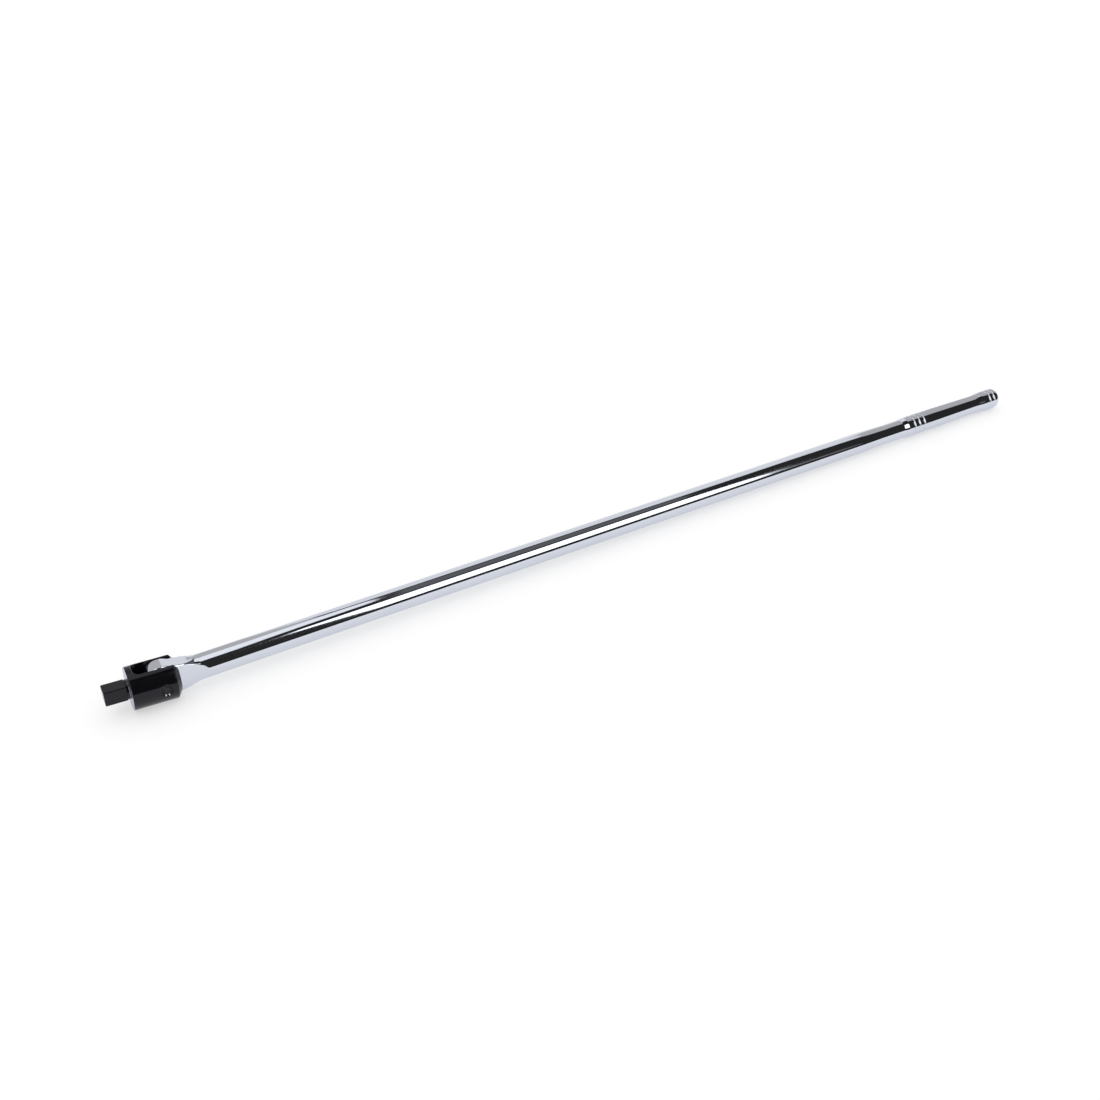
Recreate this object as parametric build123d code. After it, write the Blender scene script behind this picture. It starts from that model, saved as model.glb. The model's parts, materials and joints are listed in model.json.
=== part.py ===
from build123d import *
import os
from math import sqrt

# Breaker bar with a swinging half-inch square-drive head. Millimetres, +Z up.
#
# Every piece is drawn around the pivot: the pivot pin lies along Y through (0, 0, 0), the bar
# runs along +X to the grip, and the square drive points along -X. At the end all pieces are
# shifted together, so that the origin is the middle of the bottom of the whole tool's box.

# ---- overall ----
OVERALL_LENGTH = 935.0      # tip of the square to the end of the butt
HEAD_TILT = 3.5              # rest angle of the head, degrees about +Y: the square's tip is raised

# ---- square drive and collar ----
SQUARE = 12.7                # across flats
SQUARE_LENGTH = 16.6
SQUARE_CORNER_R = 0.9
SQUARE_TIP_CHAMFER = 0.7
COLLAR_R = 8.0               # turned neck between the square and the head
COLLAR_LENGTH = 2.6

# ---- fork head ----
HEAD_R = 17.5
HEAD_FRONT = 25.6            # pivot to the head's front face
HEAD_FRONT_CHAMFER = 0.5
HEAD_BEVEL_START = 8.9       # pivot to the start of the ears' rear bevel
HEAD_REAR = 12.6             # pivot to the ears' rear ends
HEAD_REAR_R = 12.4
SLOT_WIDTH = 14.5
SLOT_DEPTH = 20.5            # pivot to the closed end of the slot
SLOT_CORNER_R = 4.7          # corners of the closed end, seen from above
SLOT_CHAMFER = 0.7

# ---- pivot pin ----
PIN_R = 4.0
PIN_CHAMFER = 0.6
PIN_RECESS = 1.3             # how far each end lies below the head's skin
PIN_SINK_R = 5.3             # counterbore around each pin end
PIN_SINK_DEPTH = 1.6
PIN_RUNNING_GAP = 0.05       # radial gap between the pin and the tongue

# ---- tongue ----
TONGUE_THICKNESS = 13.6
TONGUE_CHAMFER = 1.1
EYE_R = 15.5
EYE_BLEND_X = 29.0           # where the eye's blend arc meets the shaft
EYE_BLEND_RISE = 0.25        # height of that arc's end above the shaft's skin
RUNOUT_START = 20.5          # where the flat sides begin to rise
RUNOUT_END = 35.5            # where they leave the round shaft
FLARE_START_R = 19.2         # the forging's round envelope over the eye
FLARE_START = 7.5
FLARE_END = 31.7

# ---- shaft and grip, measured from the pivot along +X ----
SHAFT_R = 10.4
NECK_R = 9.55
BAND_R = 10.3                # front of the grip, with three ring grooves
WAIST_R = 9.35               # thinnest place of the grip
BUTT_R = 10.25
BUTT_ROUND = 5.2
TAPER_START = 699.2
TAPER_END = 741.1
SHOULDER_START = 757.7
SHOULDER_END = 763.3
GRIP_TAPER_START = 799.6
WAIST_X = 860.9
FLARE_OUT_X = 870.8
GROOVE_HALF_WIDTH = 1.2      # half width of a ring groove
GROOVE_DEPTH = 0.62
FRONT_GROOVES = (770.8, 777.1, 783.6)
BUTT_GROOVES = (875.5, 881.3)

# ---- socket-retaining ball in the underside of the square ----
BALL_R = 2.38
BALL_PROUD = 0.9             # how far the ball stands out of the square
BALL_SEAT_GAP = 0.05
BALL_FROM_TIP = 7.1
BALL_HOLE_DEPTH = 10.2

# ---- friction ball in the side of the tongue ----
FRICTION_BALL_R = 2.0
FRICTION_FROM_PIVOT = 8.8
FRICTION_EAR_GAP = 0.05
FRICTION_HOLE_DEPTH = 9.3
FRICTION_SEAT_GAP = 0.05

# ---- springs ----
WIRE_R = 0.28
SPRING_END_GAP = 0.05
SPRING_COILS = 5

TIP = HEAD_FRONT + COLLAR_LENGTH + SQUARE_LENGTH
BUTT_END = OVERALL_LENGTH - TIP
MARGIN = 5.0                 # how far cutting tools reach past what they cut
TOLERANCE = 0.01


def turned(profile):
    """A solid of revolution about X from the half outline above the axis."""
    return revolve(make_face(profile), axis=Axis.X)


def along_y(face_edges, half_width):
    """A closed outline in the XZ plane pushed out both ways along Y."""
    face = Plane.XZ * make_face(face_edges)
    return extrude(face, amount=half_width, both=True)


def blend_arc_radius():
    """Radius of the concave arc from the round eye to the shaft."""
    end_height = SHAFT_R + EYE_BLEND_RISE
    difference = EYE_R - end_height
    return (EYE_BLEND_X**2 / difference - EYE_R - end_height) / 2


def groove_cutter(x, skin_r):
    """A ring that turns one round-bottomed groove into the grip."""
    ring_r = (GROOVE_HALF_WIDTH**2 + GROOVE_DEPTH**2) / (2 * GROOVE_DEPTH)
    centre_r = skin_r - GROOVE_DEPTH + ring_r
    section = Pos(x, centre_r) * Circle(ring_r)
    return revolve(section, axis=Axis.X)


def smooth_step(x0, r0, x1, r1):
    """An S-shaped stretch of the bar's outline, level at both ends."""
    return Spline((x0, r0), (x1, r1), tangents=((1, 0), (1, 0)))


def bar_outline():
    """Half outline of the bar, from the round envelope over the eye to the butt."""
    flare_rise = FLARE_START_R - SHAFT_R
    flare_run = FLARE_END - FLARE_START
    flare_r = (flare_run**2 + flare_rise**2) / (2 * flare_rise)
    back = -EYE_R - MARGIN
    dome_start = BUTT_END - BUTT_ROUND
    dome_mid = BUTT_ROUND * sqrt(0.5)
    dome_centre_r = BUTT_R - BUTT_ROUND
    flare_mid_x = FLARE_END - flare_run / 2
    flare_mid_r = SHAFT_R + flare_r - sqrt(flare_r**2 - (flare_run / 2) ** 2)
    return [
        Line((BUTT_END, 0), (back, 0)),
        Line((back, 0), (back, FLARE_START_R)),
        Line((back, FLARE_START_R), (FLARE_START, FLARE_START_R)),
        ThreePointArc((FLARE_START, FLARE_START_R), (flare_mid_x, flare_mid_r), (FLARE_END, SHAFT_R)),
        Line((FLARE_END, SHAFT_R), (TAPER_START, SHAFT_R)),
        smooth_step(TAPER_START, SHAFT_R, TAPER_END, NECK_R),
        Line((TAPER_END, NECK_R), (SHOULDER_START, NECK_R)),
        Line((SHOULDER_START, NECK_R), (SHOULDER_END, BAND_R)),
        Line((SHOULDER_END, BAND_R), (GRIP_TAPER_START, BAND_R)),
        Line((GRIP_TAPER_START, BAND_R), (WAIST_X, WAIST_R)),
        smooth_step(WAIST_X, WAIST_R, FLARE_OUT_X, BUTT_R),
        Line((FLARE_OUT_X, BUTT_R), (dome_start, BUTT_R)),
        ThreePointArc(
            (dome_start, BUTT_R),
            (dome_start + dome_mid, dome_centre_r + dome_mid),
            (BUTT_END, dome_centre_r),
        ),
        Line((BUTT_END, dome_centre_r), (BUTT_END, 0)),
    ]


def eye_outline():
    """Side view of the tongue: the round eye and the arcs that bring it down to the shaft."""
    arc_r = blend_arc_radius()
    end_height = SHAFT_R + EYE_BLEND_RISE
    reach = EYE_R + arc_r
    touch_x = EYE_R * EYE_BLEND_X / reach
    touch_z = EYE_R * (end_height + arc_r) / reach
    mid_x = (touch_x + EYE_BLEND_X) / 2
    mid_z = end_height + arc_r - sqrt(arc_r**2 - (EYE_BLEND_X - mid_x) ** 2)
    past = BUTT_END + MARGIN
    clear = FLARE_START_R + MARGIN
    clear_x = EYE_BLEND_X + clear - end_height
    return [
        ThreePointArc((touch_x, touch_z), (-EYE_R, 0), (touch_x, -touch_z)),
        ThreePointArc((touch_x, -touch_z), (mid_x, -mid_z), (EYE_BLEND_X, -end_height)),
        Polyline(
            (EYE_BLEND_X, -end_height),
            (clear_x, -clear),
            (past, -clear),
            (past, clear),
            (clear_x, clear),
            (EYE_BLEND_X, end_height),
        ),
        ThreePointArc((EYE_BLEND_X, end_height), (mid_x, mid_z), (touch_x, touch_z)),
    ]


def flat_sides():
    """Top view of the forging: flat sides on the tongue that run out into the round shaft."""
    half = TONGUE_THICKNESS / 2
    rise = SHAFT_R - half
    run = RUNOUT_END - RUNOUT_START
    arc_r = (run**2 + rise**2) / (2 * rise)
    mid_x = RUNOUT_START + run / 2
    mid_y = half + arc_r - sqrt(arc_r**2 - (run / 2) ** 2)
    back = -EYE_R - MARGIN
    past = BUTT_END + MARGIN
    clear = SHAFT_R + MARGIN
    edges = [
        Line((RUNOUT_START, -half), (back, -half)),
        Line((back, -half), (back, half)),
        Line((back, half), (RUNOUT_START, half)),
        ThreePointArc((RUNOUT_START, half), (mid_x, mid_y), (RUNOUT_END, SHAFT_R)),
        Polyline((RUNOUT_END, SHAFT_R), (RUNOUT_END + MARGIN, clear), (past, clear), (past, -clear),
                 (RUNOUT_END + MARGIN, -clear), (RUNOUT_END, -SHAFT_R)),
        ThreePointArc((RUNOUT_END, -SHAFT_R), (mid_x, -mid_y), (RUNOUT_START, -half)),
    ]
    return extrude(make_face(edges), amount=FLARE_START_R + MARGIN, both=True)


def handle_bar():
    """The one-piece forged bar: eye and tongue, shaft, neck, grip and butt."""
    bar = turned(bar_outline())
    for x in FRONT_GROOVES:
        bar -= groove_cutter(x, BAND_R)
    for x in BUTT_GROOVES:
        bar -= groove_cutter(x, BUTT_R)
    bar &= along_y(eye_outline(), SHAFT_R + MARGIN)
    bar &= flat_sides()
    half = TONGUE_THICKNESS / 2
    arcs = bar.edges().filter_by(GeomType.CIRCLE)
    rim = [edge for edge in arcs if abs(abs(edge.center().Y) - half) < TOLERANCE]
    bar = chamfer(rim, TONGUE_CHAMFER)
    bar -= Rot(90, 0, 0) * Cylinder(PIN_R + PIN_RUNNING_GAP, 4 * SHAFT_R)
    hole_r = FRICTION_BALL_R + FRICTION_SEAT_GAP
    hole_middle = half - FRICTION_HOLE_DEPTH / 2
    friction_hole = Rot(90, 0, 0) * Cylinder(hole_r, FRICTION_HOLE_DEPTH)
    bar -= Pos(FRICTION_FROM_PIVOT, hole_middle, 0) * friction_hole
    return bar


def square_drive():
    """The male square with rounded corners and a chamfered tip, pointing along -X."""
    section = Plane.YZ * RectangleRounded(SQUARE, SQUARE, SQUARE_CORNER_R)
    square = Pos(-TIP, 0, 0) * extrude(section, amount=SQUARE_LENGTH)
    tip_edges = square.faces().sort_by(Axis.X)[0].edges()
    return chamfer(tip_edges, SQUARE_TIP_CHAMFER)


def fork_outline():
    """Half outline of the head and its collar."""
    collar_start = -HEAD_FRONT - COLLAR_LENGTH
    edge = HEAD_FRONT_CHAMFER
    return Polyline(
        (collar_start, 0),
        (collar_start, COLLAR_R),
        (-HEAD_FRONT, COLLAR_R),
        (-HEAD_FRONT, HEAD_R - edge),
        (-HEAD_FRONT + edge, HEAD_R),
        (HEAD_BEVEL_START, HEAD_R),
        (HEAD_REAR, HEAD_REAR_R),
        (HEAD_REAR, 0),
        (collar_start, 0),
    )


def slot_cutter():
    """The fork's slot: open at the rear and through in height, with round corners at its closed end."""
    half = SLOT_WIDTH / 2
    inner = half - SLOT_CORNER_R
    round_x = -SLOT_DEPTH + SLOT_CORNER_R
    corner = SLOT_CORNER_R * sqrt(0.5)
    rear = HEAD_REAR + MARGIN
    section = make_face([
        ThreePointArc((round_x, half), (round_x - corner, inner + corner), (-SLOT_DEPTH, inner)),
        Line((-SLOT_DEPTH, inner), (-SLOT_DEPTH, -inner)),
        ThreePointArc((-SLOT_DEPTH, -inner), (round_x - corner, -inner - corner), (round_x, -half)),
        Polyline((round_x, -half), (rear, -half), (rear, half), (round_x, half)),
    ])
    return extrude(section, amount=HEAD_R + MARGIN, both=True)


def pin_sink(side):
    """The counterbore around one end of the pivot pin."""
    length = PIN_SINK_DEPTH + MARGIN
    middle = HEAD_R - PIN_SINK_DEPTH + length / 2
    return Pos(0, side * middle, 0) * Rot(90, 0, 0) * Cylinder(PIN_SINK_R, length)


def ball_centre():
    """Centre of the socket ball, in the head's own untilted position."""
    return (-TIP + BALL_FROM_TIP, 0, -SQUARE / 2 + BALL_R - BALL_PROUD)


def ball_seat():
    """The ball's hole, closed in at the mouth by a round lip that keeps the ball in."""
    x, _, z = ball_centre()
    seat_r = BALL_R + BALL_SEAT_GAP
    depth = BALL_HOLE_DEPTH - (z + SQUARE / 2)
    hole = Pos(x, 0, z + depth / 2) * Cylinder(seat_r, depth)
    return hole + Pos(x, 0, z) * Sphere(seat_r)


def drive_head():
    """The one-piece head: square, collar and fork."""
    head = turned(fork_outline())
    head -= slot_cutter()
    half = SLOT_WIDTH / 2
    rim = [
        edge
        for edge in head.edges()
        if abs(edge.center().Z) > HEAD_REAR_R
        and edge.bounding_box().max.X < HEAD_BEVEL_START + SLOT_CHAMFER
        and edge.bounding_box().min.X > -SLOT_DEPTH - SLOT_CHAMFER
        and edge.bounding_box().max.Y < half + SLOT_CHAMFER
        and edge.bounding_box().min.Y > -half - SLOT_CHAMFER
    ]
    head = chamfer(rim, SLOT_CHAMFER)
    head += square_drive()
    head -= Rot(90, 0, 0) * Cylinder(PIN_R, 4 * HEAD_R)
    for side in (-1, 1):
        head -= pin_sink(side)
    head -= ball_seat()
    return head


def pivot_pin():
    """The cross pin, pressed into both ears."""
    length = 2 * (HEAD_R - PIN_RECESS)
    pin = Rot(90, 0, 0) * Cylinder(PIN_R, length)
    return chamfer(pin.edges().filter_by(GeomType.CIRCLE), PIN_CHAMFER)


def coil_spring(outer_r, length):
    """A round-wire compression spring standing on the XY plane."""
    mean_r = outer_r - WIRE_R
    height = length - 2 * WIRE_R
    path = Helix(pitch=height / SPRING_COILS, height=height, radius=mean_r)
    section = Plane(origin=path @ 0, z_dir=path % 0) * Circle(WIRE_R)
    return Pos(0, 0, WIRE_R) * sweep(section, path=path, is_frenet=True)


def socket_ball():
    return Pos(*ball_centre()) * Sphere(BALL_R)


def socket_ball_spring():
    """The spring between the socket ball and the bottom of its hole."""
    x, _, z = ball_centre()
    start = z + BALL_R + SPRING_END_GAP
    end = -SQUARE / 2 + BALL_HOLE_DEPTH - SPRING_END_GAP
    return Pos(x, 0, start) * coil_spring(BALL_R - BALL_SEAT_GAP, end - start)


def friction_ball_y():
    """Distance of the friction ball's centre from the bar's middle plane."""
    return SLOT_WIDTH / 2 - FRICTION_EAR_GAP - FRICTION_BALL_R


def friction_ball():
    return Pos(FRICTION_FROM_PIVOT, friction_ball_y(), 0) * Sphere(FRICTION_BALL_R)


def friction_spring():
    """The spring between the friction ball and the bottom of its hole in the tongue."""
    end = friction_ball_y() - FRICTION_BALL_R - SPRING_END_GAP
    start = TONGUE_THICKNESS / 2 - FRICTION_HOLE_DEPTH + SPRING_END_GAP
    spring = coil_spring(FRICTION_BALL_R - FRICTION_SEAT_GAP, end - start)
    return Pos(FRICTION_FROM_PIVOT, start, 0) * Rot(-90, 0, 0) * spring


def main():
    tilt = Rot(0, HEAD_TILT, 0)
    parts = {
        "handle_bar": handle_bar(),
        "friction_ball": friction_ball(),
        "friction_spring": friction_spring(),
        "drive_head": tilt * drive_head(),
        "pivot_pin": tilt * pivot_pin(),
        "socket_ball": tilt * socket_ball(),
        "socket_ball_spring": tilt * socket_ball_spring(),
    }
    box = Compound(children=[Compound(part.solids()) for part in parts.values()]).bounding_box()
    origin = Pos(-box.center().X, -box.center().Y, -box.min.Z)
    print("pivot at", -box.center().X, -box.center().Y, -box.min.Z)
    print("whole tool", box.size.X, box.size.Y, box.size.Z)

    os.makedirs("parts", exist_ok=True)
    for node, part in parts.items():
        export_step(origin * part, f"parts/{node}.step")


main()
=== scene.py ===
import json
from math import atan2, cos, hypot, pi, radians, sin, sqrt

import bpy
from mathutils import Euler, Matrix, Vector


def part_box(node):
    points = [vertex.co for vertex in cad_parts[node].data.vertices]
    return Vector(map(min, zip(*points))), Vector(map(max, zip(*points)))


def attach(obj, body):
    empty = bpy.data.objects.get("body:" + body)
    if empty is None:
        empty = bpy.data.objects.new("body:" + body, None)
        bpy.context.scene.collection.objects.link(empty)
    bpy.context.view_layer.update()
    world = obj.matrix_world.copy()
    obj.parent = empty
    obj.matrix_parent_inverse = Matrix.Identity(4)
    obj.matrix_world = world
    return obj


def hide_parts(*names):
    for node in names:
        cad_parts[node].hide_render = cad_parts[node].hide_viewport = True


# Breaker bar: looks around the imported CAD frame. Metres, the frame's own axes.
# Pieces are drawn in millimetres round the pivot and then moved into the frame.

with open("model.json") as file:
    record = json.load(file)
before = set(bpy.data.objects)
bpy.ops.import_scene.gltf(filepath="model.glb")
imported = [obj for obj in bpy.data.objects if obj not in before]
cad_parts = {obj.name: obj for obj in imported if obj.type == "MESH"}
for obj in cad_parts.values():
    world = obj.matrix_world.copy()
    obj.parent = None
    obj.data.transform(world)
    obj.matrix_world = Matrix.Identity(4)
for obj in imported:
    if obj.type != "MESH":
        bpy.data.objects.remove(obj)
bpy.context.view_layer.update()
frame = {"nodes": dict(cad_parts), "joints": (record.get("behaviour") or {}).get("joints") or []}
MM = 0.001


def joint(name):
    """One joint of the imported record."""
    return next(j for j in frame["joints"] if j["name"] == name)


PIVOT = Vector(joint("head_swing")["pos_m"])
lift = Vector(joint("socket_ball_press")["axis"])

# ---------------------------------------------------------------- head sizes, millimetres round the pivot

SQUARE = 12.7
SQUARE_CORNER_R = 0.9
HEAD_R = 17.5
HEAD_FRONT = 25.6
FRONT_CHAMFER = 0.5
COLLAR_R = 8.0
COLLAR_FRONT = 28.2
SQUARE_ROOT = 0.3
TIP = 44.8
HEAD_BEVEL_START = 8.9
HEAD_REAR = 12.6
HEAD_REAR_R = 12.4
SLOT_HALF = 7.25
SLOT_END = 20.5
SLOT_CORNER_R = 4.7
SLOT_MOUTH_EASE = 0.5
PIN_R = 4.0
PIN_SLACK = 0.01
PIN_END = 16.2
SINK_R = 5.3
SINK_FLOOR = 15.9
SINK_ROOT_R = 0.3
SINK_LIP = 0.2
STAKE_DENT_R = 0.66
STAKE_MARKS = [(x, y, -4.5) for y in (-16.35, 16.35) for x in (-1.2, 1.2)]
BALL_X = -37.7
BALL_Z = -4.87
BALL_SEAT_R = 2.43
BALL_HOLE_TOP = 3.85
# how far a cutting shape runs on past the surface it cuts
PAST = 5.0


# ---------------------------------------------------------------- nodes

def new_material(name):
    """An empty node material and its Principled shader."""
    material = bpy.data.materials.new(name)
    material.use_nodes = True
    tree = material.node_tree
    return material, tree, tree.nodes["Principled BSDF"]


def place_coordinates(tree, scale=(1, 1, 1)):
    """Object coordinates, stretched by scale: the frame's own metres."""
    coordinates = tree.nodes.new("ShaderNodeTexCoord")
    mapping = tree.nodes.new("ShaderNodeMapping")
    mapping.inputs["Scale"].default_value = scale
    tree.links.new(coordinates.outputs["Object"], mapping.inputs["Vector"])
    return mapping.outputs["Vector"]


def noise(tree, vector, scale, detail, roughness=0.55):
    """A noise value, 0 to 1, over the given coordinates."""
    node = tree.nodes.new("ShaderNodeTexNoise")
    node.inputs["Scale"].default_value = scale
    node.inputs["Detail"].default_value = detail
    node.inputs["Roughness"].default_value = roughness
    tree.links.new(vector, node.inputs["Vector"])
    return node.outputs["Fac"]


def remap(tree, value, source, target):
    """A value moved from the source range to the target range, and held inside it."""
    node = tree.nodes.new("ShaderNodeMapRange")
    node.inputs["From Min"].default_value = source[0]
    node.inputs["From Max"].default_value = source[1]
    node.inputs["To Min"].default_value = target[0]
    node.inputs["To Max"].default_value = target[1]
    tree.links.new(value, node.inputs["Value"])
    return node.outputs["Result"]


def math_node(tree, operation, a, b):
    """One arithmetic step on two values, either of which may be a number."""
    node = tree.nodes.new("ShaderNodeMath")
    node.operation = operation
    for socket, value in zip(node.inputs, (a, b)):
        if isinstance(value, (int, float)):
            socket.default_value = value
        else:
            tree.links.new(value, socket)
    return node.outputs["Value"]


def mix_colour(tree, factor, a, b):
    """A colour between a and b, each of which is a colour or a colour output."""
    node = tree.nodes.new("ShaderNodeMix")
    node.data_type = "RGBA"
    tree.links.new(factor, node.inputs["Factor"])
    for socket, colour in ((node.inputs["A"], a), (node.inputs["B"], b)):
        if isinstance(colour, tuple):
            socket.default_value = (*colour, 1)
        else:
            tree.links.new(colour, socket)
    return node.outputs["Result"]


def bump(tree, shader, height, distance, strength):
    """Bump of the given height, in metres, on a shader."""
    node = tree.nodes.new("ShaderNodeBump")
    node.inputs["Distance"].default_value = distance
    node.inputs["Strength"].default_value = strength
    tree.links.new(height, node.inputs["Height"])
    tree.links.new(node.outputs["Normal"], shader.inputs["Normal"])


def edge_wear(tree, radius, turned, flat):
    """1 on the edges of a piece and 0 on its open faces; the bounds are cosines of the turn at an edge."""
    soft = tree.nodes.new("ShaderNodeBevel")
    soft.samples = 4
    soft.inputs["Radius"].default_value = radius
    plain = tree.nodes.new("ShaderNodeNewGeometry")
    dot = tree.nodes.new("ShaderNodeVectorMath")
    dot.operation = "DOT_PRODUCT"
    tree.links.new(soft.outputs["Normal"], dot.inputs[0])
    tree.links.new(plain.outputs["Normal"], dot.inputs[1])
    return remap(tree, dot.outputs["Value"], (flat, turned), (0.0, 1.0))


def near_point(tree, vector, point, reach):
    """1 within reach of a point, falling to 0 just outside it."""
    distance = tree.nodes.new("ShaderNodeVectorMath")
    distance.operation = "DISTANCE"
    distance.inputs[1].default_value = point
    tree.links.new(vector, distance.inputs[0])
    return remap(tree, distance.outputs["Value"], (reach, reach * 1.15), (1.0, 0.0))


# ---------------------------------------------------------------- materials

CHROME_DULL = (0.62, 0.65, 0.72)
CHROME_CLEAR = (0.66, 0.69, 0.77)
# squeezes noise into rings round the bar
ROUND_THE_BAR = (1, 0.02, 0.02)
OXIDE_DEEP = (0.002, 0.002, 0.003)
OXIDE_PALE = (0.005, 0.005, 0.006)
OXIDE_SPECULAR = 0.34
OXIDE_TINT = (0.88, 0.88, 1.0, 1.0)
GROUND_STEEL = (0.27, 0.27, 0.32)
PUNCHED_STEEL = (0.90, 0.90, 0.94)
# where the ground front face is fully bright and where it has faded, millimetres behind and ahead of it
GROUND_BEHIND = (0.15, 0.3)
GROUND_AHEAD = (0.25, 0.45)
GROUND_RAGGED = 0.06
STAKE_REACH = 0.69
WEAR_WIDTH = 0.0002
# the middle of a noise texture's values, where nearly all of them lie
NOISE_MIDDLE = (0.3, 0.7)


def chrome_material():
    """Polished chrome plate: faint polishing lines around the bar and a few duller patches."""
    material, tree, shader = new_material("polished_chrome")
    shader.inputs["Metallic"].default_value = 1.0
    patches = noise(tree, place_coordinates(tree), scale=18.0, detail=3.0)
    lines = noise(tree, place_coordinates(tree, ROUND_THE_BAR), scale=9000.0, detail=2.0)
    tree.links.new(mix_colour(tree, patches, CHROME_DULL, CHROME_CLEAR), shader.inputs["Base Color"])
    patch_roughness = remap(tree, patches, (0.35, 0.7), (0.045, 0.075))
    line_roughness = remap(tree, lines, NOISE_MIDDLE, (0.0, 0.02))
    tree.links.new(math_node(tree, "ADD", patch_roughness, line_roughness), shader.inputs["Roughness"])
    bump(tree, shader, lines, distance=0.000002, strength=0.35)
    return material


def head_coordinates(tree):
    """The head's own millimetres round the pivot, undoing its rest angle."""
    coordinates = tree.nodes.new("ShaderNodeTexCoord")
    mapping = tree.nodes.new("ShaderNodeMapping")
    mapping.vector_type = "TEXTURE"
    mapping.inputs["Location"].default_value = PIVOT
    mapping.inputs["Rotation"].default_value = (0, atan2(lift.x, lift.z), 0)
    mapping.inputs["Scale"].default_value = (MM, MM, MM)
    tree.links.new(coordinates.outputs["Object"], mapping.inputs["Vector"])
    return mapping.outputs["Vector"]


def ground_face(tree, own, grain):
    """1 on the head's front face, which is ground after the finish; its border is a little ragged."""
    split = tree.nodes.new("ShaderNodeSeparateXYZ")
    tree.links.new(own, split.inputs["Vector"])
    ragged = remap(tree, grain, NOISE_MIDDLE, (-GROUND_RAGGED, GROUND_RAGGED))
    x = math_node(tree, "ADD", split.outputs["X"], ragged)
    behind_bright, behind_gone = (-HEAD_FRONT + away for away in GROUND_BEHIND)
    ahead_bright, ahead_gone = (-HEAD_FRONT - away for away in GROUND_AHEAD)
    behind = remap(tree, x, (behind_bright, behind_gone), (1.0, 0.0))
    ahead = remap(tree, x, (ahead_gone, ahead_bright), (0.0, 1.0))
    return math_node(tree, "MULTIPLY", behind, ahead)


def stake_marks(tree, own):
    """1 on the punch marks that stake the pin."""
    marks = near_point(tree, own, STAKE_MARKS[0], STAKE_REACH)
    for point in STAKE_MARKS[1:]:
        marks = math_node(tree, "MAXIMUM", marks, near_point(tree, own, point, STAKE_REACH))
    return marks


def black_material():
    """Black oxide over turned steel, oiled and glossy; worn on the edges, broken by the staking marks."""
    material, tree, shader = new_material("black_oxide")
    where = place_coordinates(tree)
    own = head_coordinates(tree)
    cloud = noise(tree, where, scale=160.0, detail=5.0)
    grain = noise(tree, where, scale=2600.0, detail=3.0)
    ground = ground_face(tree, own, grain)
    marks = stake_marks(tree, own)
    edges = edge_wear(tree, WEAR_WIDTH, turned=0.80, flat=0.97)
    wear = math_node(tree, "MULTIPLY", edges, remap(tree, cloud, (0.42, 0.62), (0.1, 0.6)))
    steel = math_node(tree, "MAXIMUM", math_node(tree, "MAXIMUM", ground, marks), wear)

    black = mix_colour(tree, cloud, OXIDE_DEEP, OXIDE_PALE)
    bright = mix_colour(tree, marks, GROUND_STEEL, PUNCHED_STEEL)
    tree.links.new(mix_colour(tree, steel, black, bright), shader.inputs["Base Color"])
    tree.links.new(steel, shader.inputs["Metallic"])

    cloud_roughness = remap(tree, cloud, NOISE_MIDDLE, (0.07, 0.11))
    grain_roughness = remap(tree, grain, NOISE_MIDDLE, (0.0, 0.03))
    rough = math_node(tree, "ADD", cloud_roughness, grain_roughness)
    rough = math_node(tree, "ADD", rough, remap(tree, steel, (0.0, 1.0), (0.0, 0.06)))
    rough = math_node(tree, "ADD", rough, remap(tree, marks, (0.0, 1.0), (0.0, 0.3)))
    tree.links.new(rough, shader.inputs["Roughness"])
    shader.inputs["Specular IOR Level"].default_value = OXIDE_SPECULAR
    shader.inputs["Specular Tint"].default_value = OXIDE_TINT
    bump(tree, shader, grain, distance=0.000006, strength=0.25)
    return material


def steel_material(name, dark, light, roughness):
    """Bare or oiled steel for the small parts."""
    material, tree, shader = new_material(name)
    shader.inputs["Metallic"].default_value = 1.0
    cloud = noise(tree, place_coordinates(tree), scale=500.0, detail=4.0)
    tree.links.new(mix_colour(tree, cloud, dark, light), shader.inputs["Base Color"])
    tree.links.new(remap(tree, cloud, NOISE_MIDDLE, roughness), shader.inputs["Roughness"])
    bump(tree, shader, cloud, distance=0.000004, strength=0.5)
    return material


CHROME = chrome_material()
BLACK = black_material()
PIN_STEEL = steel_material("pin_steel", (0.022, 0.022, 0.026), (0.05, 0.05, 0.055), (0.22, 0.34))
BALL_STEEL = steel_material("ball_steel", (0.48, 0.49, 0.51), (0.58, 0.59, 0.61), (0.10, 0.18))
SPRING_STEEL = steel_material("spring_steel", (0.28, 0.28, 0.30), (0.40, 0.40, 0.42), (0.25, 0.38))

NODE_MATERIALS = {
    "handle_bar": CHROME,
    "drive_head": BLACK,
    "pivot_pin": PIN_STEEL,
    "socket_ball": BALL_STEEL,
    "friction_ball": BALL_STEEL,
    "socket_ball_spring": SPRING_STEEL,
    "friction_spring": SPRING_STEEL,
}
for node, material in NODE_MATERIALS.items():
    mesh = frame["nodes"][node].data
    mesh.materials.clear()
    mesh.materials.append(material)


# ---------------------------------------------------------------- shapes

def mesh_object(name, vertices, faces, material):
    """A mesh with one material, linked into the scene."""
    mesh = bpy.data.meshes.new(name)
    mesh.from_pydata([tuple(v) for v in vertices], [], faces)
    mesh.materials.append(material)
    mesh.update()
    obj = bpy.data.objects.new(name, mesh)
    bpy.context.scene.collection.objects.link(obj)
    return obj


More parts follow.
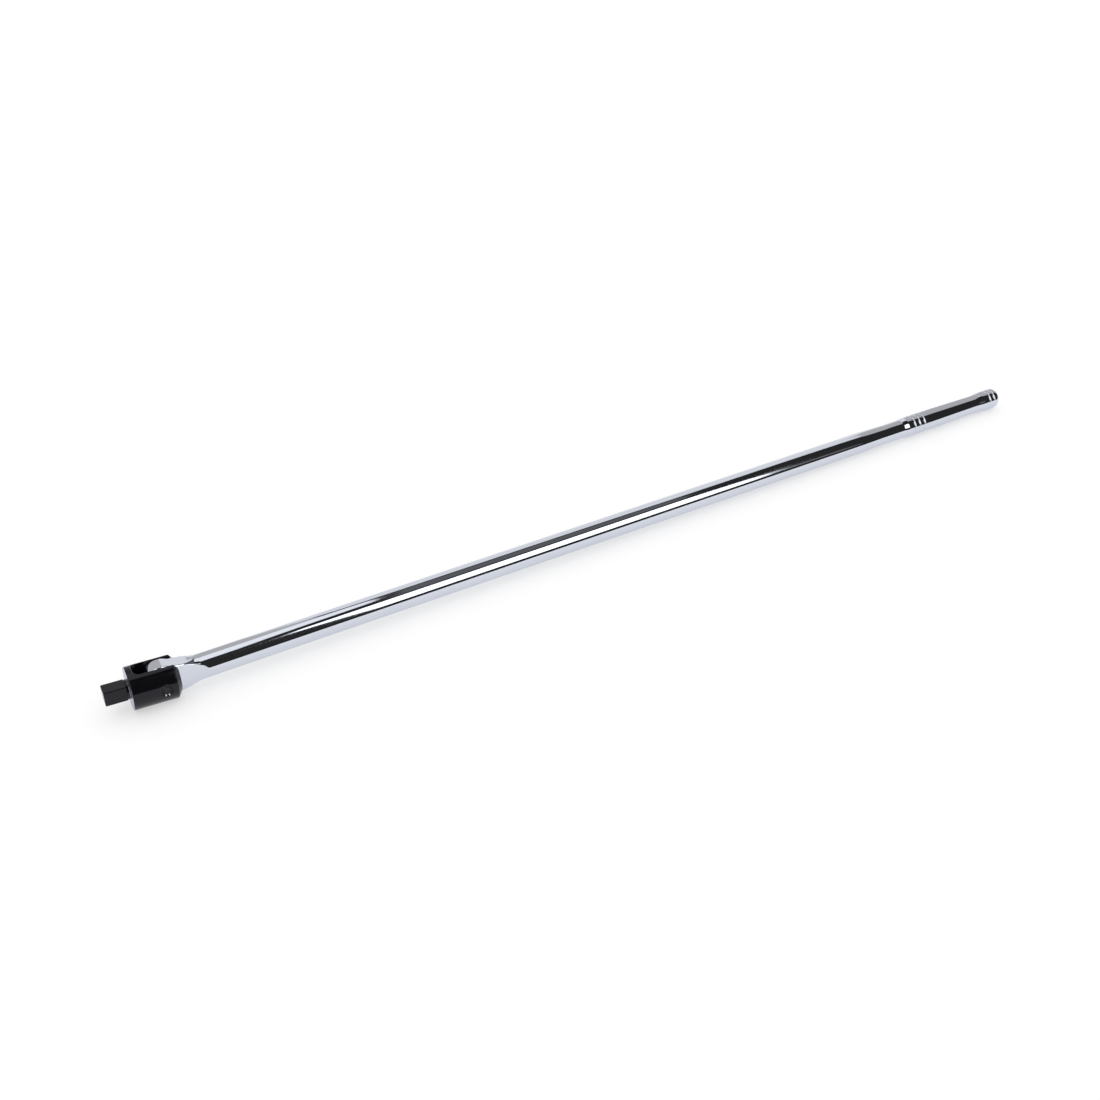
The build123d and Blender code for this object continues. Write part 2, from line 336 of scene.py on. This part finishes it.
def rings_mesh(rings):
    """Vertices and faces through closed rings of equal length, capped at both ends."""
    count = len(rings[0])
    vertices = [p for ring in rings for p in ring]
    faces = []
    for i in range(len(rings) - 1):
        low, high = i * count, (i + 1) * count
        for j in range(count):
            k = (j + 1) % count
            faces.append((low + j, low + k, high + k, high + j))
    last = (len(rings) - 1) * count
    faces.append(tuple(reversed(range(count))))
    faces.append(tuple(range(last, last + count)))
    return vertices, faces


def circle(segments, start=0.0):
    """(cosine, sine) of even steps round a circle."""
    angles = [2 * pi * (j + start) / segments for j in range(segments)]
    return [(cos(a), sin(a)) for a in angles]


def lathe(profile, segments, axis="X"):
    """A turned solid about X or Y from (place, radius) points; both ends are flat discs."""
    rings = []
    for place, radius in profile:
        points = [(radius * c, radius * s) for c, s in circle(segments, start=0.5)]
        if axis == "X":
            rings.append([Vector((place, c, s)) for c, s in points])
        else:
            rings.append([Vector((s, place, c)) for c, s in points])
    return rings_mesh(rings)


def rounded(corners, radii, steps=4):
    """An open outline through the corners, each inner corner rounded by its radius."""
    points = [Vector(corners[0])]
    for before, corner, after, radius in zip(corners, corners[1:], corners[2:], radii):
        corner = Vector(corner)
        back = (Vector(before) - corner).normalized()
        ahead = (Vector(after) - corner).normalized()
        half = back.angle(ahead) / 2
        reach = radius * cos(half) / sin(half)
        centre = corner + (back + ahead).normalized() * (radius / sin(half))
        start = corner + back * reach - centre
        end = corner + ahead * reach - centre
        for i in range(steps + 1):
            points.append(centre + start.slerp(end, i / steps).normalized() * radius)
    points.append(Vector(corners[-1]))
    return points


def cut(obj, cutter_shape, operation="DIFFERENCE"):
    """Applies one boolean of closed solids to obj and throws the cutter away."""
    cutter = mesh_object("cutter", *cutter_shape, obj.data.materials[0])
    modifier = obj.modifiers.new("cut", "BOOLEAN")
    modifier.operation = operation
    modifier.solver = "MANIFOLD"
    modifier.object = cutter
    depsgraph = bpy.context.evaluated_depsgraph_get()
    mesh = bpy.data.meshes.new_from_object(obj.evaluated_get(depsgraph))
    obj.modifiers.clear()
    obj.data = mesh
    bpy.data.objects.remove(cutter)


def place(obj, matrix):
    """Moves a piece drawn in millimetres round the pivot into the frame, in its vertices."""
    obj.data.transform(matrix)
    obj.data.update()


def shade(obj, crease_degrees):
    """Smooth shading that keeps edges sharper than the crease angle and flat faces flat."""
    for polygon in obj.data.polygons:
        polygon.use_smooth = True
    obj.data.set_sharp_from_angle(angle=radians(crease_degrees))
    modifier = obj.modifiers.new("flat faces", "WEIGHTED_NORMAL")
    modifier.keep_sharp = True


# ---------------------------------------------------------------- head

HEAD_PLACE = Matrix.Translation(PIVOT) @ Matrix((
    (lift.z, 0, lift.x, 0),
    (0, 1, 0, 0),
    (-lift.x, 0, lift.z, 0),
    (0, 0, 0, 1),
)) @ Matrix.Scale(MM, 4)
BAR_PLACE = Matrix.Translation(PIVOT) @ Matrix.Scale(MM, 4)

# how far back from the tip, and how much smaller the half width is there
TIP_EASE = [(0.0, 0.78), (0.06, 0.52), (0.2, 0.27), (0.42, 0.08), (0.75, 0.0)]
# how far outward the slot's wall leans, and how deep under the round skin
SLOT_EASE = [(0.0, 1.0), (0.13, 0.62), (0.35, 0.32), (0.62, 0.08), (0.95, -0.2)]
# past this share of the head's radius the slot's edge stops following the skin down
SLOT_EDGE_LIMIT = 0.8
# the pin's end form: how far in from the end, and the radius there
PIN_FORM = [(0.10, 1.1), (0.02, 2.0), (0.0, 2.45), (0.08, 2.62), (0.26, 2.76), (0.26, 2.9), (0.08, 3.04),
            (0.0, 3.2), (0.0, 3.42), (0.08, 3.62), (0.24, 3.8), (0.45, 3.92), (0.7, PIN_R - PIN_SLACK)]
# how far above the square's lower face, and how much wider than the lip, the ball's seat opens
SEAT_OPENING = [(-1.0, 0.45), (-0.05, 0.12)]
SEAT_LIP_TOP = 0.1
LONG_STRETCH = 8.0


def quarter_turn(start, steps):
    """(cosine, sine) of even steps through a quarter turn that starts at so many degrees."""
    angles = [radians(start + 90 * i / steps) for i in range(steps + 1)]
    return [(cos(a), sin(a)) for a in angles]


def square_shape():
    """The male square: rounded long edges and a softened tip."""
    rings = []
    for back, inset in TIP_EASE + [(TIP - COLLAR_FRONT + SQUARE_ROOT, 0.0)]:
        middle = SQUARE / 2 - inset - SQUARE_CORNER_R
        ring = []
        for side_y, side_z, start in ((1, 1, 0), (-1, 1, 90), (-1, -1, 180), (1, -1, 270)):
            for c, s in quarter_turn(start, 6):
                y = side_y * middle + SQUARE_CORNER_R * c
                z = side_z * middle + SQUARE_CORNER_R * s
                ring.append(Vector((-TIP + back, y, z)))
        rings.append(ring)
    return rings_mesh(rings)


def slot_corner(corner_x, corner_y, start):
    """One rounded inner corner of the slot, with its outward directions."""
    turn = quarter_turn(start, 12)
    return [(corner_x + SLOT_CORNER_R * c, corner_y + SLOT_CORNER_R * s, c, s) for c, s in turn]


def slot_outline():
    """The slot seen from above: (x, y, outward x, outward y) all the way round."""
    side_steps, end_steps = 12, 6
    corner_x = SLOT_CORNER_R - SLOT_END
    corner_y = SLOT_HALF - SLOT_CORNER_R
    mouth = HEAD_REAR - SLOT_MOUTH_EASE
    side = [mouth + (corner_x - mouth) * i / side_steps for i in range(side_steps)]
    points = [(x, SLOT_HALF, 0, 1) for x in side]
    points += slot_corner(corner_x, corner_y, 90)
    points += [(-SLOT_END, corner_y * (1 - 2 * i / end_steps), -1, 0) for i in range(1, end_steps)]
    points += slot_corner(corner_x, -corner_y, 180)
    points += [(x, -SLOT_HALF, 0, -1) for x in reversed(side)]
    # the mouth opens a little, which eases the ears' inner rear edges
    wide = SLOT_HALF + PAST + SLOT_MOUTH_EASE
    points.append((HEAD_REAR + PAST, -wide, 0, -1))
    points.append((HEAD_REAR + PAST, wide, 0, 1))
    return points


def slot_level(outline, side, offset, depth):
    """The slot's outline moved outward by offset, at a depth under the upper or lower skin."""
    ring = []
    for x, y, out_x, out_y in outline:
        moved_y = y + out_y * offset
        skin = sqrt(HEAD_R**2 - min(abs(moved_y), HEAD_R * SLOT_EDGE_LIMIT)**2)
        ring.append(Vector((x + out_x * offset, moved_y, side * (skin - depth))))
    return ring


def slot_shape():
    """What the slot takes out of the head, with its upper and lower edges eased."""
    outline = slot_outline()
    rings = []
    for side in (-1, 1):
        levels = [slot_level(outline, side, offset, depth) for offset, depth in SLOT_EASE]
        levels.append([Vector((p.x, p.y, side * (HEAD_R + PAST))) for p in levels[-1]])
        rings += levels if side > 0 else reversed(levels)
    return rings_mesh(rings)


def head_profile():
    """Half outline of the head and collar, corners softened and long stretches divided."""
    shoulder = HEAD_R - FRONT_CHAMFER
    corners = [(-COLLAR_FRONT, 0), (-COLLAR_FRONT, COLLAR_R), (-HEAD_FRONT, COLLAR_R),
               (-HEAD_FRONT, shoulder), (-HEAD_FRONT + FRONT_CHAMFER, HEAD_R),
               (HEAD_BEVEL_START, HEAD_R), (HEAD_REAR, HEAD_REAR_R), (HEAD_REAR, 0)]
    outline = rounded(corners, radii=[0.35, 0.45, 0.3, 0.4, 1.3, 0.9])
    dense = []
    for a, b in zip(outline, outline[1:]):
        dense.append(a)
        if abs(b.x - a.x) > LONG_STRETCH:
            dense += [a.lerp(b, i / 4) for i in (1, 2, 3)]
    return [(p.x, p.y) for p in dense if p.y > 0]


def sink_shape(side):
    """The counterbore round one end of the pin, its root eased."""
    corners = [(SINK_FLOOR, PIN_R - SINK_LIP), (SINK_FLOOR, SINK_R), (HEAD_R + PAST, SINK_R)]
    profile = [(side * p.x, p.y) for p in rounded(corners, radii=[SINK_ROOT_R], steps=2)]
    if side < 0:
        profile.reverse()
    return lathe(profile, segments=64, axis="Y")


def dent_shape(centre):
    """A round punch mark."""
    rings = []
    for i in range(1, 8):
        tilt = radians(-90 + 22.5 * i)
        r = STAKE_DENT_R * cos(tilt)
        out = STAKE_DENT_R * sin(tilt)
        rings.append([Vector(centre) + Vector((r * s, out, r * c)) for c, s in circle(20)])
    return rings_mesh(rings)


def ball_seat_shape():
    """The ball's blind hole with its closed-in lip, a turned shape about Z."""
    face = -SQUARE / 2
    lip = sqrt(BALL_SEAT_R**2 - (BALL_Z - face)**2)
    profile = [(face + z, lip + wider) for z, wider in SEAT_OPENING]
    low, steps = face + SEAT_LIP_TOP, 8
    for i in range(steps + 1):
        z = low + (BALL_Z - low) * i / steps
        profile.append((z, sqrt(BALL_SEAT_R**2 - (z - BALL_Z)**2)))
    profile.append((BALL_HOLE_TOP, BALL_SEAT_R))
    return rings_mesh([[Vector((BALL_X + r * c, r * s, z)) for c, s in circle(48)] for z, r in profile])


def make_head():
    """The head: a turned body, the slot, the square, and the holes for the pin and the ball."""
    obj = mesh_object("head_forging", *lathe(head_profile(), segments=160), BLACK)
    cut(obj, slot_shape())
    cut(obj, square_shape(), "UNION")
    cut(obj, lathe([(-HEAD_R - PAST, PIN_R), (HEAD_R + PAST, PIN_R)], segments=64, axis="Y"))
    for side in (-1, 1):
        cut(obj, sink_shape(side))
    for centre in STAKE_MARKS:
        cut(obj, dent_shape(centre))
    cut(obj, ball_seat_shape())
    shade(obj, crease_degrees=26)
    place(obj, HEAD_PLACE)
    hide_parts("drive_head")
    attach(obj, "head")


def make_pin():
    """The pivot pin: softened ends, each with a shallow staking ring and a slightly domed middle."""
    profile = [(-PIN_END + inset, r) for inset, r in PIN_FORM]
    profile += [(PIN_END - inset, r) for inset, r in reversed(PIN_FORM)]
    obj = mesh_object("pin", *lathe(profile, segments=96, axis="Y"), PIN_STEEL)
    shade(obj, crease_degrees=40)
    place(obj, HEAD_PLACE)
    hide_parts("pivot_pin")
    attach(obj, "head")


# ---------------------------------------------------------------- bar, millimetres round the pivot

BUTT_END = 890.2
TONGUE_HALF = 6.8
TONGUE_EASE = 1.1
EYE_R = 15.5
BLEND_X = 29.0
RUNOUT = (20.5, 35.5)
FLARE = (7.5, 31.7)
FLARE_R = 19.2
SHAFT_R = 10.4
NECK_R = 9.55
BAND_R = 10.3
WAIST_R = 9.35
BUTT_R = 10.25
BUTT_ROUND = 5.2
TAPER = (699.2, 741.1)
SHOULDER = (757.7, 763.3)
GRIP_TAPER_START = 799.6
FLARE_OUT = (857.5, 872.0)
GROOVES = (770.8, 777.1, 783.6, 875.5, 881.3)
GROOVE_HALF = 1.2
GROOVE_DEPTH = 0.62
# width over which two faces of the bar ease into each other
SOFT = 0.45
# the blend below the eye ends this far outside the shaft, and leaves it at this slope
BLEND_GAP = 0.25
BLEND_AWAY = 0.35
BORE_R = 4.05
BORE_EASE = 0.65
BORE_EASE_IN = 0.3
BORE_EASE_OUT = 0.4
FRICTION_X = 8.8
FRICTION_HOLE_R = 2.05
FRICTION_HOLE_DEPTH = 9.3


def arc_radius(run, rise):
    """Radius of an arc that starts level and climbs by rise over run."""
    return (run**2 + rise**2) / (2 * rise)


def level_arc(x, run, rise):
    """Height of such an arc at x; it keeps climbing past the end of its run."""
    if x <= 0:
        return 0.0
    r = arc_radius(run, rise)
    if x < run:
        return r - sqrt(r**2 - x**2)
    slope = run / sqrt(r**2 - run**2)
    return rise + slope * (x - run)


def share(x, span):
    """How far x is through a span, 0 to 1."""
    return (x - span[0]) / (span[1] - span[0])


def smooth(t):
    """0 to 1 with level ends."""
    return t * t * (3 - 2 * t)


def skin_radius(x):
    """Radius of the bar's round skin at x."""
    if x < FLARE[1]:
        return SHAFT_R + level_arc(FLARE[1] - max(x, FLARE[0]), FLARE[1] - FLARE[0], FLARE_R - SHAFT_R)
    if x < TAPER[0]:
        return SHAFT_R
    if x < TAPER[1]:
        return SHAFT_R + (NECK_R - SHAFT_R) * smooth(share(x, TAPER))
    if x < SHOULDER[0]:
        return NECK_R
    if x < SHOULDER[1]:
        return NECK_R + (BAND_R - NECK_R) * share(x, SHOULDER)
    if x < GRIP_TAPER_START:
        return BAND_R - groove_depth(x)
    if x < FLARE_OUT[0]:
        return BAND_R + (WAIST_R - BAND_R) * share(x, (GRIP_TAPER_START, FLARE_OUT[0]))
    if x < FLARE_OUT[1]:
        return WAIST_R + (BUTT_R - WAIST_R) * smooth(share(x, FLARE_OUT))
    into = x - (BUTT_END - BUTT_ROUND)
    if into > 0:
        return BUTT_R - BUTT_ROUND + sqrt(max(BUTT_ROUND**2 - into**2, 0))
    return BUTT_R - groove_depth(x)


def groove_depth(x):
    """Depth of the ring groove at x, round at the bottom."""
    ring_r = arc_radius(GROOVE_HALF, GROOVE_DEPTH)
    away = min(abs(x - g) for g in GROOVES)
    if away >= GROOVE_HALF:
        return 0.0
    return sqrt(ring_r**2 - away**2) - (ring_r - GROOVE_DEPTH)


def eye_height(x):
    """(height, slope) of the tongue's side outline: round eye, then the arc down to the shaft."""
    end = SHAFT_R + BLEND_GAP
    arc = (BLEND_X**2 / (EYE_R - end) - EYE_R - end) / 2
    touch = EYE_R * BLEND_X / (EYE_R + arc)
    if x < touch:
        h = sqrt(max(EYE_R**2 - x**2, 1e-9))
        return h, -x / h
    if x < BLEND_X:
        drop = sqrt(arc**2 - (BLEND_X - x)**2)
        return end + arc - drop, -(BLEND_X - x) / drop
    return end + BLEND_AWAY * (x - BLEND_X), 0.0


def half_thickness(x):
    """Half thickness of the tongue, running out into the shaft."""
    return TONGUE_HALF + level_arc(x - RUNOUT[0], RUNOUT[1] - RUNOUT[0], SHAFT_R - TONGUE_HALF)


def soft_min(a, b, width):
    """The smaller of two, eased where they meet."""
    h = max(width - abs(a - b), 0) / width
    return min(a, b) - h * h * width / 4


def eased_corner(x, c, s):
    """Distance along the ray (c, s) to the eased edge between the tongue's rim and its sides."""
    beyond, eye_part = 1e3, 6
    height, slope = eye_height(x)
    if x > 0 and slope == 0.0:
        return beyond
    if x < eye_part:
        # the edge is a cone round the pin: |y| + hypot(x, z) stays the same
        total = TONGUE_HALF + EYE_R - TONGUE_EASE
        a, b, d = s * s - c * c, 2 * total * c, x * x - total * total
        if abs(a) < 1e-6:
            return -d / b
        return (-b + sqrt(max(b * b - 4 * a * d, 0))) / (2 * a)
    lean = 1 / sqrt(1 + slope**2)
    return (half_thickness(x) - TONGUE_EASE + height * lean) / (c + s * lean)


def section_point(x, y, z):
    """Where the ray from the bar's axis towards (y, z) leaves the bar."""
    length = hypot(y, z)
    c, s = y / length, z / length
    height, _ = eye_height(x)
    width = min(SOFT, 0.5 * height)
    reach = soft_min(half_thickness(x) / max(c, 1e-6), height / max(s, 1e-6), width)
    reach = soft_min(reach, eased_corner(x, c, s), width)
    reach = soft_min(reach, skin_radius(x), width)
    return reach * c, reach * s


def edge_angles(x):
    """Angles at which the flat side and the flat top end in the section at x."""
    least = radians(15)
    round_r = skin_radius(x)
    half = half_thickness(x)
    height, _ = eye_height(x)
    diagonal = atan2(height, half)
    side_z = 0.0
    if half < round_r:
        side_z = min(sqrt(round_r**2 - half**2), max(height - TONGUE_EASE, 0.0))
    low = max(atan2(side_z, half), min(least, diagonal / 2))
    if height >= round_r:
        return low, pi / 2 - least
    top_y = min(sqrt(round_r**2 - height**2), half - TONGUE_EASE)
    high = min(atan2(height, top_y), pi / 2 - min(least, (pi / 2 - diagonal) / 2))
    return low, high


def quarter(x):
    """Points of one quarter of the section at x, from the side (+Y) to the top (+Z)."""
    flat_rays, corner_rays = 5, 14
    low, high = edge_angles(x)
    targets = [(cos(low), sin(low) * i / flat_rays) for i in range(flat_rays)]
    for i in range(corner_rays + 1):
        a = low + (high - low) * i / corner_rays
        targets.append((cos(a), sin(a)))
    targets += [(cos(high) * (1 - i / flat_rays), sin(high)) for i in range(1, flat_rays + 1)]
    return [section_point(x, max(y, 1e-6), max(z, 1e-6)) for y, z in targets]


def section(x):
    """The closed section at x."""
    q = quarter(x)
    ring = list(q)
    ring += [(-y, z) for y, z in reversed(q[:-1])]
    ring += [(-y, -z) for y, z in q[1:]]
    ring += [(y, -z) for y, z in reversed(q[1:-1])]
    return [Vector((x, y, z)) for y, z in ring]


def stations():
    """Where sections are taken along the bar: close together wherever it changes shape."""
    eye_angles = (0.4, 3, 6, 10, 14, 18, 22, 27, 32, 37, 42, 47, 52, 57, 62, 67, 72, 77)
    xs = [-EYE_R * cos(radians(a)) for a in eye_angles]
    xs += [-3 + 0.5 * i for i in range(90)]
    xs += [60, 200, 400, 600]
    xs += [TAPER[0] + (TAPER[1] - TAPER[0]) * i / 14 for i in range(15)]
    xs.append(750)
    for edge in SHOULDER:
        xs += [edge + away for away in (-0.6, -0.25, 0.25, 0.6)]
    xs += [759.4, 760.6, 761.8]
    for groove in GROOVES:
        for share_out in (0.2, 0.45, 0.7, 0.9, 1.0, 1.12):
            xs += [groove - GROOVE_HALF * share_out, groove + GROOVE_HALF * share_out]
        xs.append(groove)
    xs += [GRIP_TAPER_START - 2, GRIP_TAPER_START + 2, 818, 840]
    xs += [FLARE_OUT[0] + (FLARE_OUT[1] - FLARE_OUT[0]) * i / 12 for i in range(13)]
    xs += [BUTT_END - BUTT_ROUND + BUTT_ROUND * sin(radians(a)) for a in range(0, 90, 6)]
    xs.append(BUTT_END - 0.002)
    return sorted(xs)


def bore_shape():
    """The pin's bore through the tongue, its rims eased."""
    outer = TONGUE_HALF + BORE_EASE_OUT
    inner = TONGUE_HALF - BORE_EASE_IN
    wide = BORE_R + BORE_EASE
    profile = [(-outer, wide), (-inner, BORE_R), (inner, BORE_R), (outer, wide)]
    return lathe(profile, segments=64, axis="Y")


def friction_hole_shape():
    """The blind hole for the friction ball in the far side of the tongue."""
    r = FRICTION_HOLE_R
    rings = []
    for y in (TONGUE_HALF - FRICTION_HOLE_DEPTH, TONGUE_HALF + 1):
        rings.append([Vector((FRICTION_X + r * c, y, -r * s)) for c, s in circle(40)])
    return rings_mesh(rings)


def make_bar():
    """The bar: sections from eye to butt, then the pin's bore and the friction ball's hole."""
    rings = [section(x) for x in stations()]
    obj = mesh_object("bar_forging", *rings_mesh(rings), CHROME)
    cut(obj, bore_shape())
    cut(obj, friction_hole_shape())
    shade(obj, crease_degrees=30)
    place(obj, BAR_PLACE)
    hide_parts("handle_bar")
    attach(obj, "handle")


make_head()
make_pin()
make_bar()


# ---------------------------------------------------------------- studio, metres

WHITE = (1.0, 1.0, 1.0)
WARM = (1.0, 0.975, 0.95)
FLOOR_DARK = (0.52, 0.52, 0.52)
FLOOR_LIGHT = (0.54, 0.54, 0.54)
FLOOR_GLOW = 0.47
FLOOR_FRONT, FLOOR_BACK = -2.6, 9.0
FLOOR_LEFT, FLOOR_RIGHT = -6.0, 12.0
# polished parts mirror the floor only behind this line
MIRRORED_FROM = -0.24
CEILING_Z = 1.6
STANDING_Y = -2.5
SIDE_X = -1.3
WALL_Y = 9.0
WALL_FOOT = -0.2
MATT_LIGHT = 1.05
DARK_ROOM = (0.027, 0.026, 0.026)

CAMERA_FROM_PIVOT = Vector((-0.06907, -0.81404, 0.55948))
CAMERA_HEADING = radians(27.082)
CAMERA_DIP = radians(31.572)
CAMERA_ROLL = radians(3.787)
CAMERA_LENS = 39.273
CAMERA_SENSOR = 36.0


def flat_mesh(name, corners, material):
    """A single flat face through the given corners."""
    obj = mesh_object(name, corners, [tuple(range(len(corners)))], material)
    return obj


def floor_material():
    """A matt white sweep, lit from underneath as well, so that shadows stay faint."""
    material, tree, shader = new_material("pale_floor")
    mottle = noise(tree, place_coordinates(tree), scale=3.0, detail=4.0)
    tree.links.new(mix_colour(tree, mottle, FLOOR_DARK, FLOOR_LIGHT), shader.inputs["Base Color"])
    shader.inputs["Roughness"].default_value = 0.9
    shader.inputs["Specular IOR Level"].default_value = 0.1
    shader.inputs["Emission Color"].default_value = (*WHITE, 1)
    shader.inputs["Emission Strength"].default_value = FLOOR_GLOW
    return material


def make_floor():
    """A pale floor that touches the head and the butt; polished parts mirror only its back half."""
    bar_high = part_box("handle_bar")[1]
    slope = (PIVOT.z - BUTT_R * MM) / (bar_high.x - PIVOT.x)
    material = floor_material()
    halves = [("floor_back", MIRRORED_FROM, FLOOR_BACK), ("floor_front", FLOOR_FRONT, MIRRORED_FROM)]
    for name, near, far in halves:
        plan = [(FLOOR_LEFT, near), (FLOOR_RIGHT, near), (FLOOR_RIGHT, far), (FLOOR_LEFT, far)]
        floor = flat_mesh(name, [(x, y, (x - PIVOT.x) * slope) for x, y in plan], material)
        floor.visible_glossy = name == "floor_back"


def glow_material(name, colour, strength):
    """A material that only gives off light."""
    material = bpy.data.materials.new(name)
    material.use_nodes = True
    tree = material.node_tree
    tree.nodes.clear()
    emission = tree.nodes.new("ShaderNodeEmission")
    emission.inputs["Color"].default_value = (*colour, 1)
    emission.inputs["Strength"].default_value = strength
    output = tree.nodes.new("ShaderNodeOutputMaterial")
    tree.links.new(emission.outputs["Emission"], output.inputs["Surface"])
    return material


def reflector(name, corners, strength, colour=WHITE):
    """A light panel that only shows in polished surfaces. Corners are in metres from the pivot."""
    obj = flat_mesh(name, [PIVOT + Vector(c) for c in corners], glow_material(name, colour, strength))
    obj.visible_camera = False
    obj.visible_diffuse = False
    obj.visible_shadow = False
    obj.visible_transmission = False


def ceiling(name, outline, strength, colour=WHITE):
    """A reflector lying level above the tool, from (x, y) points."""
    reflector(name, [(x, y, CEILING_Z) for x, y in outline], strength, colour)


def standing(name, outline, strength):
    """A reflector standing in front of the tool, from (x, z) points."""
    reflector(name, [(x, STANDING_Y, z) for x, z in outline], strength)


def make_ceiling():
    ceiling("overhead_box", [
        (-1.5, -0.50), (0.28, -0.48), (0.35, -0.28), (0.42, -0.20), (0.58, -0.12), (0.60, 0.62),
        (0.52, 0.77), (0.42, 0.84), (0.33, 0.76), (-1.5, 0.72)], strength=1.15)
    ceiling("overhead_dim", [
        (0.63, -0.60), (1.45, -0.60), (1.38, 0.25), (1.0, 0.50), (0.65, 0.58)], strength=0.14)
    ceiling("back_corner", [
        (-4, 0.74), (0.50, 0.82), (0.57, 1.78), (0.62, 2.3), (1.25, 8.1), (1.35, 9), (-4, 9)],
        strength=0.60, colour=WARM)
    ceiling("back_ceiling", [
        (0.57, 1.78), (0.58, 1.16), (0.66, 0.96), (0.70, 0.86), (1.0, 0.75), (1.22, 0.64), (1.45, 0.46),
        (1.76, 0.38), (1.97, 0.14), (2.2, 1.2), (2.71, 1.98), (3.65, 3.21), (9, 9), (1.35, 9),
        (1.25, 8.1), (0.62, 2.3)], strength=0.95)
    ceiling("back_right", [
        (1.97, 0.14), (2.11, -0.07), (2.3, -0.07), (9, -0.1), (9, 9), (3.65, 3.21), (2.71, 1.98), (2.2, 1.2)],
        strength=0.58, colour=WARM)


def make_panels():
    standing("standing_box", [
        (0.84, 0.74), (2.30, 0.80), (2.45, 1.24), (2.81, 2.49), (3.07, 3.54), (3.19, 4.1), (1.0, 4.15),
        (0.81, 3.2)], strength=2.2)
    standing("standing_end", [(2.32, 0.76), (2.75, 0.62), (2.78, 1.2), (2.48, 1.24)], strength=0.2)
    sheet = [(-8.0, 0.05), (-0.25, 0.05), (-0.25, 8.0), (-8.0, 8.0)]
    reflector("side_sheet", [(SIDE_X, y, z) for y, z in sheet], strength=1.4)
    walls = [("wall_left", FLOOR_LEFT, 1.35, 0.60), ("wall_middle", 1.35, 8.3, 0.95),
             ("wall_right", 8.3, FLOOR_RIGHT, 0.60)]
    for name, left, right, strength in walls:
        wall = [(left, WALL_FOOT), (right, WALL_FOOT), (right, CEILING_Z), (left, CEILING_Z)]
        reflector(name, [(x, WALL_Y, z) for x, z in wall], strength)


def make_world():
    """Even white light for matt surfaces, and a dark room for polished ones to mirror."""
    world = bpy.data.worlds.new("studio")
    bpy.context.scene.world = world
    world.use_nodes = True
    tree = world.node_tree
    tree.nodes.clear()
    path = tree.nodes.new("ShaderNodeLightPath")
    bright = tree.nodes.new("ShaderNodeBackground")
    bright.inputs["Color"].default_value = (*WHITE, 1)
    bright.inputs["Strength"].default_value = MATT_LIGHT
    dark = tree.nodes.new("ShaderNodeBackground")
    dark.inputs["Color"].default_value = (*DARK_ROOM, 1)
    mix = tree.nodes.new("ShaderNodeMixShader")
    output = tree.nodes.new("ShaderNodeOutputWorld")
    tree.links.new(path.outputs["Is Glossy Ray"], mix.inputs["Fac"])
    tree.links.new(bright.outputs["Background"], mix.inputs[1])
    tree.links.new(dark.outputs["Background"], mix.inputs[2])
    tree.links.new(mix.outputs["Shader"], output.inputs["Surface"])


def make_camera():
    """A normal lens from in front of the head and above it, turned towards the middle of the bar."""
    data = bpy.data.cameras.new("camera")
    data.lens = CAMERA_LENS
    data.sensor_width = CAMERA_SENSOR
    camera = bpy.data.objects.new("camera", data)
    bpy.context.scene.collection.objects.link(camera)
    camera.location = PIVOT + CAMERA_FROM_PIVOT
    aim = Euler((pi / 2 - CAMERA_DIP, 0, -CAMERA_HEADING)).to_matrix()
    camera.rotation_euler = (aim @ Matrix.Rotation(-CAMERA_ROLL, 3, "Z")).to_euler()
    bpy.context.scene.camera = camera


make_floor()
make_ceiling()
make_panels()
make_world()
make_camera()
bpy.context.scene.view_settings.view_transform = "Standard"
